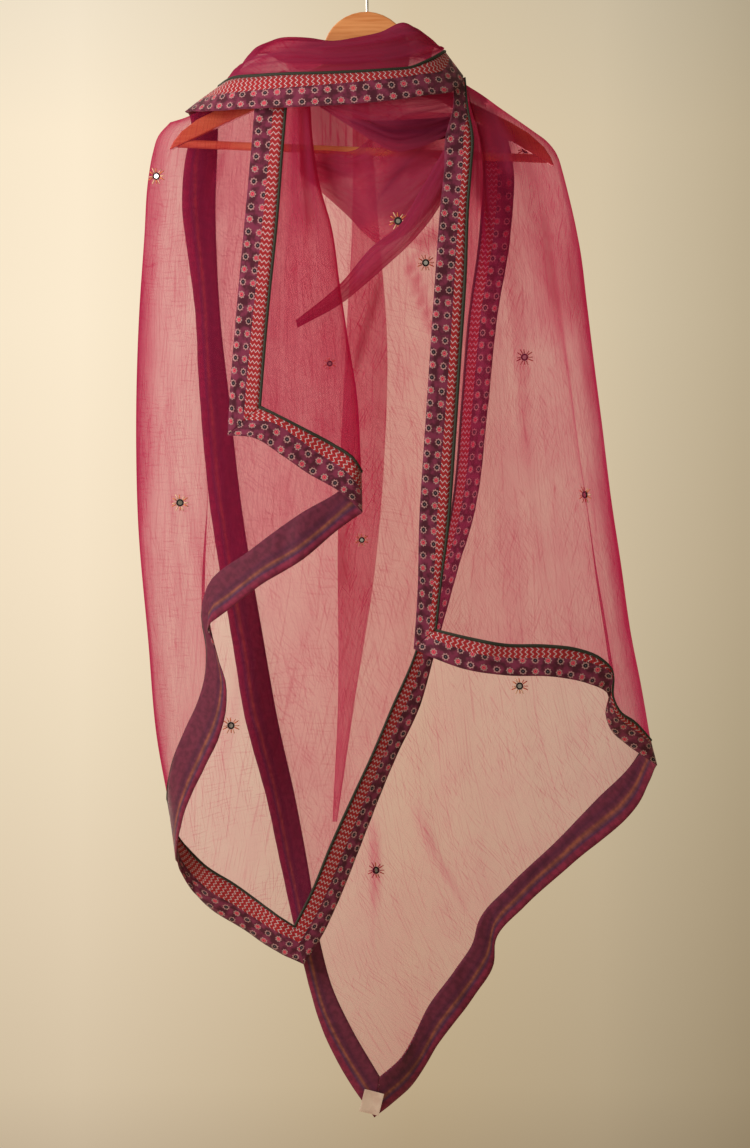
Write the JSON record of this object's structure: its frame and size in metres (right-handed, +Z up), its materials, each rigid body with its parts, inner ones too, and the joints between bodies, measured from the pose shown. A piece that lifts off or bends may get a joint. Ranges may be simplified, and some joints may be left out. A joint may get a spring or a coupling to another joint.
{
  "type": "dupatta stole on a wooden hanger",
  "caption": "Sheer crimson dupatta with a printed border, wound twice round the neck of a wooden hanger, its two ends hanging as long pointed falls.",
  "frame": {"origin": "inside of the top of the hook, where the hanger hangs on its rail or nail", "axes": "+Z up, -Y towards the front of the hanging stole, +X to the right as seen from the front"},
  "size_m": [0.567, 0.1668, 1.28],
  "materials": {
    "sheer cloth": "sheer crimson georgette, matt",
    "border print": "printed cotton, plum with cream flowers and red zigzags",
    "piping": "dark green piping",
    "label": "bare woven label",
    "wood": "varnished",
    "steel": "dark polished wire"
  },
  "bodies": {
    "root": {"back_pleat": "sheer cloth", "border_a_hem": "border print", "border_a_return": "border print", "border_b_hem": "border print", "border_c_edge": "border print", "border_c_hem": "border print", "border_collar": "border print", "border_d_edge": "border print", "border_d_hem": "border print", "border_left_strip": "border print", "border_neck_gather": "border print", "border_right_strip": "border print", "chest_swag": "sheer cloth", "collar_cloth": "sheer cloth", "hanger_bar": "wood", "hanger_board": "wood", "hanger_hook": "steel", "label": "label", "left_back": "sheer cloth", "left_front": "sheer cloth", "left_return": "sheer cloth", "neck_back": "sheer cloth", "neck_inner": "sheer cloth", "piping_a_hem": "piping", "piping_a_return": "piping", "piping_b_hem": "piping", "piping_c_edge": "piping", "piping_c_hem": "piping", "piping_collar": "piping", "piping_d_edge": "piping", "piping_d_hem": "piping", "piping_left_strip": "piping", "piping_neck_gather": "piping", "piping_right_strip": "piping", "right_back": "sheer cloth", "right_front": "sheer cloth", "swag_fold": "sheer cloth"}
  },
  "joints": []
}
